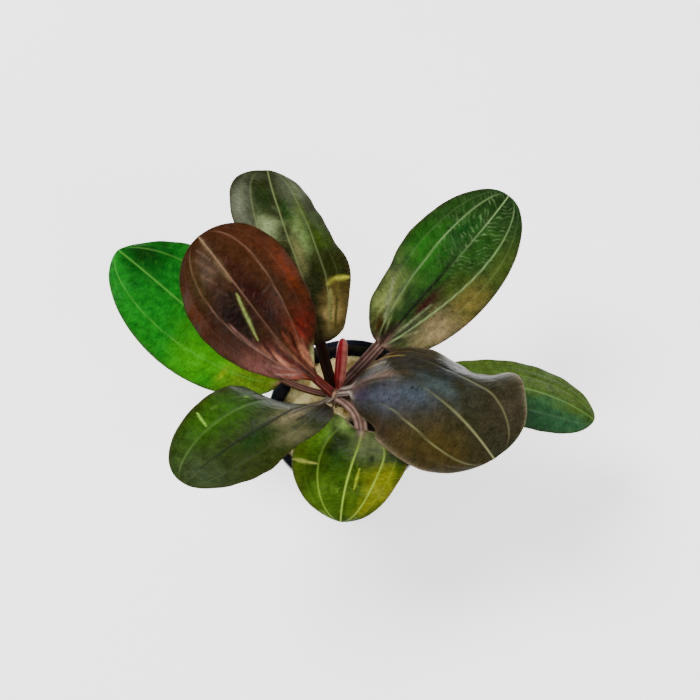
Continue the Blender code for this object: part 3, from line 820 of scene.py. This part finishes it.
# Leaf B
# The highest leaf, nearest to the viewer: red-brown and cupped, orange towards its right margin,
# with a yellow-green streak beside the midrib where the pigment is missing.
grow("leaf_b", {
    "foot": (-5.9, 8.0, 51.5), "heading": (148, 153, 138, 131), "rise": (42, 53, 55, 36),
    "stalk": 7.5, "blade": 68.95, "halves": (20.5, 20.5), "shape": (0.98, 0.47),
    "roll": (4, -16, -1), "fold": (14, 9), "curl_left": (29, 28, 17), "curl_right": (17, 37, 22),
    "veins": ((0.46, 0.52, 0.62), (0.36, 0.47, 0.56)), "seed": 2,
    "midrib": (0.5, 0.35, 0.9), "laterals": (0.5, 0.55, 0.45),
    "colour": "442711", "vein_colour": "94705a", "underside": "7a3a30",
    "stalk_colour": "8c443c", "groove_colour": "4a1410", "stalk_half": 1.75, "pleats": 0.6,
    "patches": (
        (0.16, 0.80, 0.14, 0.30, 1, "a04731"), (0.36, 0.78, 0.14, 0.25, 1, "88544c"),
        (0.18, 0.27, 0.13, 0.10, 1, "770808"), (0.20, 0.04, 0.14, 0.08, 1, "ce7f58"),
        (0.30, 0.40, 0.10, 0.08, 1, "ce8669"), (0.62, 0.75, 0.14, 0.15, 1, "43220f"),
        (0.18, -0.38, 0.12, 0.20, 1, "ce8660"), (0.32, -0.65, 0.14, 0.30, 1, "8c2c22"),
        (0.12, -0.85, 0.05, 0.18, 1, "cece84"), (0.60, 0.35, 0.18, 0.25, 1, "1a0808"),
        (0.60, -0.14, 0.22, 0.14, 1, "320808"), (0.85, -0.70, 0.18, 0.35, 1, "4c2612"),
        (0.65, -0.85, 0.12, 0.15, 1, "732f11"), (0.78, 0.90, 0.10, 0.15, 1, "5d2c08"),
        (0.86, 0.30, 0.08, 0.20, 1, "624f3d"), (0.84, 0.60, 0.10, 0.12, 1, "453411"),
    ),
    "streaks": (
        # Painted shade and highlight: the first dark streak is painted shade in a groove near the base, and
        # the beige streaks beside the midrib from u 0.70 to 1.0 are a painted highlight with its flecks.
        (0.15, -0.10, 0.34, -0.32, 0.8, "300804"), (0.28, 0.50, 0.44, 0.28, 0.7, "401810"),
        (0.24, 0.58, 0.62, 0.50, 0.4, "946860"), (0.74, 0.03, 1.0, 0.06, 0.9, "7c6848"),
        (0.82, 0.16, 0.93, 0.44, 0.5, "6c5440"), (0.78, 0.24, 0.86, 0.44, 0.4, "6c5440"),
        (0.88, 0.10, 0.96, 0.34, 0.4, "7c6450"), (0.70, 0.20, 0.77, 0.32, 0.35, "5c4438"),
        (0.06, -0.75, 0.26, -0.52, 0.6, "c47c60"), (0.10, -0.20, 0.38, -0.16, 0.5, "944c3c"),
        (0.08, 0.30, 0.36, 0.72, 0.45, "8c6058"), (0.12, 0.62, 0.30, 0.90, 0.4, "a07468"),
        (0.72, 0.16, 0.46, 0.42, 0.9, "140a04"), (0.69, 0.07, 0.43, 0.34, 0.5, "b0c864"),
    ),
})

# Leaf C
# The long low leaf on the left, under leaves B and G: bright green, yellower at its base, and
# darker at the tip. Its slender stalk lies over the pot's lip.
grow("leaf_c", {
    "foot": (-7.4, 8.1, 48.5), "heading": (176, 154, 139, 133), "rise": (22, 24, 19, -11),
    "stalk": 16.0, "blade": 73.4, "halves": (20.0, 21.5), "shape": (0.56, 0.59),
    "roll": (-1, -8, 6), "fold": (4, -6),
    "veins": ((0.42, 0.56, 0.65), (0.50, 0.60, 0.60)), "seed": 3,
    "midrib": (0.2, 0.5, 0.5), "laterals": (0.3, 0.4, 0.4),
    "colour": "0a7918", "vein_colour": "5ea83c", "underside": "5a8a40",
    "stalk_colour": "8a5a4c", "groove_colour": "3a1810",
    "patches": (
        (0.12, 0.4, 0.16, 1.0, 2, "607e11"), (0.35, 0.5, 0.14, 0.6, 1, "419b08"),
        (0.88, -0.4, 0.16, 0.7, 1, "0b3308"), (0.24, 0.60, 0.012, 0.12, 1, "83a308"),
    ),
})

# Leaf D
# The long back-right leaf, on a stout brown stalk: green, tan low on its right, and maroon beside
# the midrib, with a ladder of pale cross veins towards its tip.
grow("leaf_d", {
    "foot": (-2.4, 9.6, 50.0), "heading": (39, 39, 41, 42), "rise": (11, 22, 16, 29),
    "stalk": 20.0, "blade": 67.0, "halves": (18.5, 18.0), "shape": (0.45, 0.45),
    "roll": (32, 25, -4), "fold": (16, 4), "curl_left": (11, 13, -10), "curl_right": (6, -1, 1),
    "waves": ((1, 0.15, 0.07, -0.7, 0.1), (1, 0.45, 0.1, 0.9, 0.08)),
    "veins": ((0.40, 0.47, 0.50), (0.22, 0.46, 0.60)), "seed": 4,
    "midrib": (0.0, 0.05, 0.9), "laterals": (0.6, 0.7, 0.4), "rungs": 0.42,
    "rung_place": 0.82, "rung_side": 0.15, "pitch": 1.9,
    "colour": "213c15", "vein_colour": "8cac6c", "underside": "6a7a48",
    "stalk_colour": "8c6c62", "groove_colour": "4a2c28", "stalk_half": 2.1, "pleats": 0.3,
    "patches": (
        (0.50, 0.55, 0.20, 0.50, 1, "1e680e"), (0.20, 0.72, 0.14, 0.30, 1, "919f54"),
        (0.08, 0.55, 0.06, 0.30, 1, "432607"), (0.25, -0.70, 0.14, 0.35, 1, "907a55"),
        (0.48, -0.75, 0.12, 0.30, 1, "72642a"), (0.70, -0.80, 0.12, 0.25, 1, "40521a"),
        (0.95, 0.05, 0.08, 1.00, 1, "112b0a"), (0.14, -0.30, 0.08, 0.15, 1, "3a322a"),
        (0.33, -0.16, 0.12, 0.12, 2, "31070f"), (0.06, 0.15, 0.06, 0.22, 1, "070707"),
        (0.48, -0.28, 0.10, 0.15, 1, "34440f"), (0.72, 0.25, 0.12, 0.20, 1, "104411"),
        (0.70, -0.25, 0.14, 0.25, 1, "1f4a12"),
    ),
    "streaks": (
        # The dark streak along the midrib from u 0.08 to 0.60 is painted shade in its groove.
        (0.08, 0.01, 0.60, 0.01, 0.6, "0c1408"), (0.06, -0.12, 0.34, -0.24, 0.45, "64704c"),
        (0.05, -0.18, 0.22, -0.55, 0.5, "6c6c48"), (0.10, 0.42, 0.30, 0.80, 0.8, "8c9668"),
        (0.06, 0.20, 0.30, 0.56, 0.5, "6c7c48"),
    ),
})

# Leaf E
# The broad front-right leaf: nearly black brown with an olive tip, a blue-grey sheen painted on as a
# reflection, and golden threads along its base. It arches over on a short pale stalk.
grow("leaf_e", {
    "foot": (-2.1, 7.3, 51.5), "heading": (-27, -14, -46, -55), "rise": (44, 47, 22, -30),
    "stalk": 5.0, "blade": 67.0, "halves": (26.0, 23.0), "shape": (0.52, 0.38),
    "roll": (-3, -9, 16), "fold": (-12, -6), "curl_left": (-23, -38, 6), "curl_right": (-9, -16, -23),
    "waves": ((1, 0.25, 0.1, 1.2, 0.06), (1, 0.75, 0.07, 1.0, 0.12), (-1, 0.3, 0.1, 0.4, 0.0)),
    "veins": ((0.65, 0.57, 0.55), (0.42, 0.52, 0.58)), "seed": 5,
    "midrib": (-1.0, 0.05, 0.95), "laterals": (-0.4, 0.45, 0.5),
    "left_lateral": 0.8, "fine": 0.04, "shine": 0.10, "rungs": 0.1,
    "colour": "2a291a", "vein_colour": "84865a", "underside": "7a5a50",
    "stalk_colour": "a89a90", "groove_colour": "5a4640", "stalk_half": 2.0, "pleats": 0.3, "rim": "8c7c60",
    # The blue-grey patches beside the midrib and on the right half are a painted reflection.
    "patches": (
        (0.14, 0.75, 0.08, 0.25, 1, "482610"), (0.03, 0.55, 0.045, 0.50, 2, "070707"),
        (0.28, -0.35, 0.25, 0.30, 1, "424856"), (0.50, -0.15, 0.10, 0.15, 1, "424c5a"),
        (0.32, 0.50, 0.12, 0.40, 1, "322c2a"), (0.80, -0.55, 0.22, 0.40, 1, "423615"),
        (0.62, -0.80, 0.12, 0.20, 1, "413515"), (0.86, 0.65, 0.14, 0.35, 1, "362f22"),
        (0.60, 0.88, 0.08, 0.12, 1, "070707"), (0.18, 0.12, 0.14, 0.08, 1, "5a3e2a"),
        (0.30, -0.85, 0.30, 0.15, 1, "352519"), (0.48, 0.55, 0.10, 0.35, 1, "091420"),
        (0.55, 0.15, 0.10, 0.15, 1, "414d4e"), (0.08, -0.30, 0.06, 0.25, 1, "35263f"),
    ),
    "streaks": (
        (0.05, 0.80, 0.20, 0.45, 0.35, "80763c"), (0.06, 0.92, 0.26, 0.62, 0.35, "80763c"),
        (0.10, 0.96, 0.34, 0.78, 0.35, "544c2c"), (0.24, -0.10, 0.27, -0.14, 0.35, "0c0c0c"),
        (0.34, -0.38, 0.355, -0.38, 0.4, "0c0c0c"), (0.45, -0.08, 0.465, -0.08, 0.4, "0c0c0c"),
    ),
})

# Leaf F
# The narrow leaf that comes out from under E, with its stalk hidden: olive above its midrib and
# a darker blue-green below.
grow("leaf_f", {
    "foot": (-0.7, 8.3, 48.0), "heading": (4, -5, -11, -34), "rise": (25, 10, -5, -29),
    "stalk": 20.5, "blade": 68.4, "halves": (10.0, 14.5), "shape": (0.69, 0.51),
    "roll": (-3, -7, -5), "fold": (2, -7),
    "veins": ((0.50, 0.50, 0.50), (0.50, 0.50, 0.50)), "seed": 6,
    "midrib": (0.3, 0.7, 0.5), "laterals": (0.1, 0.2, 0.2),
    "shine": 0.14, "colour": "465c20", "vein_colour": "5c8040", "underside": "5a6a40",
    "stalk_colour": "6a5048", "groove_colour": "3a2420",
    "patches": ((0.7, -0.7, 0.5, 0.62, 2, "2e5835"),),
})

# Leaf G
# The lower left leaf: dark green, with a pale greyish base, a bright scratch and a few specks. It
# stands on a short pale stalk in front of the rootstock.
grow("leaf_g", {
    "foot": (-6.2, 5.9, 49.5), "heading": (232, 229, 221, 230), "rise": (38, 50, 30, 22),
    "stalk": 5.5, "blade": 72.0, "halves": (15.5, 18.5), "shape": (0.64, 0.48),
    "roll": (21, 1, 7), "fold": (-6, 2), "curl_left": (3, 14, 3), "curl_right": (-26, 8, -10),
    "waves": ((-1, 0.25, 0.08, 0.5, 0.0), (1, 0.5, 0.1, 1.6, -0.13)),
    "veins": ((0.50, 0.50, 0.50), (0.44, 0.51, 0.52)), "seed": 7,
    "midrib": (0.0, 0.02, 0.1), "laterals": (0.1, 0.5, 0.4), "left_lateral": 0.2, "fine": 0.1, "rungs": 0.1,
    "colour": "2a350e", "vein_colour": "64803c", "underside": "5a6048",
    "stalk_colour": "9a8e80", "groove_colour": "4a4238", "pleats": 0.4, "shine": 0.14,
    "patches": (
        (0.33, 0.12, 0.13, 0.22, 1, "8c805d"), (0.15, 0.65, 0.20, 0.35, 1, "080808"),
        (0.44, 0.65, 0.08, 0.30, 1, "5e5c3d"), (0.65, -0.60, 0.26, 0.40, 1, "2e590b"),
        (0.25, -0.60, 0.12, 0.40, 1, "080808"), (0.92, 0.20, 0.10, 0.90, 1, "38462a"),
        (0.45, -0.68, 0.014, 0.035, 2, "638325"), (0.63, -0.75, 0.02, 0.04, 2, "466a21"),
        (0.10, 0.10, 0.06, 0.20, 1, "442b3c"), (0.60, 0.15, 0.14, 0.20, 1, "173408"),
    ),
    "streaks": (
        (0.72, -0.58, 0.70, -0.90, 0.38, "a4e050"), (0.03, 0.0, 0.9, 0.0, 0.5, "10140a"),
        (0.10, 0.25, 0.34, 0.10, 0.6, "2c2620"), (0.14, 0.55, 0.36, 0.32, 0.6, "2c2620"),
    ),
})

# Leaf H
# The short front leaf that droops towards the viewer, on a broad lilac-brown stalk: yellow-green
# with an ochre right half and pale veins.
grow("leaf_h", {
    "foot": (-2.5, 5.7, 50.0), "heading": (-38, -95, -108, -100), "rise": (3, 32, 24, -50),
    "stalk": 18.5, "blade": 38.49, "halves": (18.0, 20.0), "shape": (0.53, 0.63),
    "roll": (-3, 6, 5), "fold": (7, 3), "curl_left": (-7, 9, 4), "curl_right": (6, -2, -7),
    "lobe_right": 23.0, "veins": ((0.54, 0.54, 0.54), (0.53, 0.53, 0.53)), "seed": 8,
    "midrib": (0.2, 0.8, 0.9), "laterals": (0.4, 0.9, 0.6), "rungs": 0.15,
    "colour": "273f08", "vein_colour": "94b43c", "underside": "6a7040",
    "stalk_colour": "94766c", "groove_colour": "5a4038", "stalk_half": 2.2, "pleats": 0.2, "rim": "6c5c18",
    "patches": (
        (0.22, 0.30, 0.20, 0.50, 1, "606c40"), (0.70, 0.65, 0.22, 0.35, 2, "747814"),
        (0.45, -0.30, 0.20, 0.20, 1, "1d3e0f"), (0.30, -0.80, 0.20, 0.25, 1, "8dce35"),
        (0.08, -0.70, 0.08, 0.30, 1, "9fc862"), (0.62, -0.90, 0.26, 0.14, 1, "7c9a28"),
        (0.78, -0.60, 0.24, 0.45, 1, "4b6d13"), (0.80, 0.25, 0.15, 0.20, 1, "3f580c"),
        (0.27, 0.34, 0.035, 0.12, 2, "495135"), (0.40, 0.33, 0.05, 0.06, 1, "080808"),
    ),
    "streaks": ((0.56, -0.55, 0.58, -1.0, 0.5, "e8f070"), (0.72, 0.20, 0.52, 0.17, 0.35, "a0b020")),
})

# Youngest leaf
# Still rolled into a spear that leans back from the middle of the rootstock: crimson, with its
# margin wrapped to the right and painted paler there as a highlight.
SPEAR_FOOT = (-3.2, 8.6, 48.6)
SPEAR_LENGTH = 22.6
SPEAR_HALF = 2.1
SPEAR_HEADING = math.radians(73.0)
SPEAR_RISE = math.radians(60.0)
SPEAR_ROWS = 90
SPEAR_COLUMNS = 48
SPEAR_LOW = "6c1010"
SPEAR_HIGH = "9c1028"
SPEAR_MARGIN_HIGHLIGHT = "b8665c"
SPEAR_VEIN = "b05048"


def spear_mesh():
    """A rolled blade: rings r(s) (cos a, 0.75 sin a), with a step in r where its margin overlaps."""
    s = np.linspace(0.0, 1.0, SPEAR_ROWS + 1)[:-1][:, None]
    a = 2.0 * np.pi * np.arange(SPEAR_COLUMNS)[None] / SPEAR_COLUMNS
    bend = SPEAR_RISE + 0.10 * (s - 0.3)
    step = SPEAR_LENGTH / SPEAR_ROWS
    out, high = np.cumsum(np.cos(bend) * step)[:, None], np.cumsum(np.sin(bend) * step)[:, None]
    to_x, to_y = math.cos(SPEAR_HEADING), math.sin(SPEAR_HEADING)
    middle = np.stack([out * to_x, out * to_y, high], -1) + np.array(SPEAR_FOOT)
    side = np.array([-to_y, to_x, 0.0])
    lean = math.sin(SPEAR_RISE)
    over = np.array([-to_x * lean, -to_y * lean, math.cos(SPEAR_RISE)])
    wide = SPEAR_HALF * np.clip(s / 0.25, 0.45, 1.0) ** 0.5 * (1.0 - s**9) ** 0.55
    lap = (a / (2.0 * np.pi) + 0.12 + 0.25 * s) % 1.0
    wide = wide * (0.86 + 0.16 * lap) + 0.03 * np.sin(14.0 * a) * (1.0 - s)
    turned = np.cos(a)[..., None] * side + 0.75 * np.sin(a)[..., None] * over
    points = (middle + wide[..., None] * turned).reshape(-1, 3)
    points = np.vstack([points, middle[0], 2.0 * middle[-1] - middle[-2]]) * 0.001
    tone = covered(paint(SPEAR_LOW) + 0.0 * turned, SPEAR_HIGH, s + 0.0 * a)
    # The right side of the roll, where the margin wraps over, is painted paler as a highlight.
    pale = np.clip((-np.cos(a) - 0.1) / 0.25, 0.0, 1.0) * np.clip(s / 0.3, 0.0, 1.0)
    tone = covered(tone, SPEAR_MARGIN_HIGHLIGHT, pale).reshape(-1, 3)
    vein = (0.5 + 0.5 * np.sin(11.0 * a + 2.0 * s)) ** 6 * 0.4
    where = np.stack(np.broadcast_arrays(s * 2.2, a * 0.13), -1).reshape(-1, 2)
    values = {"vein": with_poles(vein.reshape(-1)), "tone": with_poles(tone), "blade": with_poles(where)}
    return points, capped_faces(SPEAR_ROWS, SPEAR_COLUMNS), values


spear_points, spear_faces, spear_values = spear_mesh()
spear_skin = leaf_material("young_leaf_skin", SPEAR_VEIN, 0.4, USUAL_LEAF["shine"])
spear = add_piece("young_leaf_spear", spear_points, spear_faces, spear_skin, spear_values)
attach(spear, "root")
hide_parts("young_leaf")

# Floor and light
# A plain pale sheet under the pot, lit a little from below like a light table. A key panel high
# on the left and a fill in front light the plant without highlights. Two weak low windows, behind
# and on the left, give the leaves their gloss, and the surround is an even pale grey.
FLOOR_HALF = 1.2
FLOOR_GLOW = 1.5
SURROUND_GLOW = 0.4
LAMP_TARGET = (0.0, 0.0, 0.05)
LAMPS = (
    ("key", 150.0, 60.0, 1.1, 0.45, 19.0, (1.0, 0.995, 0.98), False),
    ("fill", -50.0, 45.0, 1.1, 0.6, 8.0, (1.0, 0.99, 0.98), False),
    ("back_window", 47.0, 18.0, 0.9, 0.4, 1.8, (0.95, 0.98, 1.0), True),
    ("left_window", 150.0, 12.0, 0.8, 0.5, 1.0, (0.8, 0.9, 1.0), True),
)


def floor_material():
    """Matt off-white with a barely visible clouding and a steady glow."""
    material, shader = new_material("pale_floor", roughness=0.85)
    place = node(material, "ShaderNodeTexCoord").outputs["Object"]
    colour = two_tones(material, noise(material, place, 9.0, 2.0), "f2f1f0", "f8f8f8")
    join(material, colour, shader.inputs["Base Color"])
    join(material, colour, shader.inputs["Emission Color"])
    shader.inputs["Emission Strength"].default_value = FLOOR_GLOW
    return material


def add_panel(name, azimuth, elevation, away, size, watts, colour, mirrored):
    """Square area light turned to the plant, at a distance and two angles from it in degrees.

    A lamp that isn't mirrored lights the plant without a highlight, as through crossed filters.
    """
    lamp = bpy.data.lights.new(name, "AREA")
    lamp.size, lamp.energy, lamp.color = size, watts, colour
    made = bpy.data.objects.new(name, lamp)
    round_z = Matrix.Rotation(math.radians(azimuth + 90.0), 4, "Z")
    leaning = Matrix.Rotation(math.radians(90.0 - elevation), 4, "X")
    lifted = Matrix.Translation(LAMP_TARGET)
    made.visible_glossy = mirrored
    made.matrix_world = lifted @ round_z @ leaning @ Matrix.Translation((0.0, 0.0, away))
    bpy.context.scene.collection.objects.link(made)


floor_points = np.array([(-1, -1, 0), (1, -1, 0), (1, 1, 0), (-1, 1, 0)]) * FLOOR_HALF
floor = add_piece("floor", floor_points, [(0, 1, 2, 3)], floor_material())
for lamp_row in LAMPS:
    add_panel(*lamp_row)
world = bpy.data.worlds.new("surround")
world.use_nodes = True
surround = world.node_tree.nodes["Background"].inputs
surround["Color"].default_value = (0.95, 0.97, 1.0, 1.0)
surround["Strength"].default_value = SURROUND_GLOW
world.cycles_visibility.glossy = False
bpy.context.scene.world = world
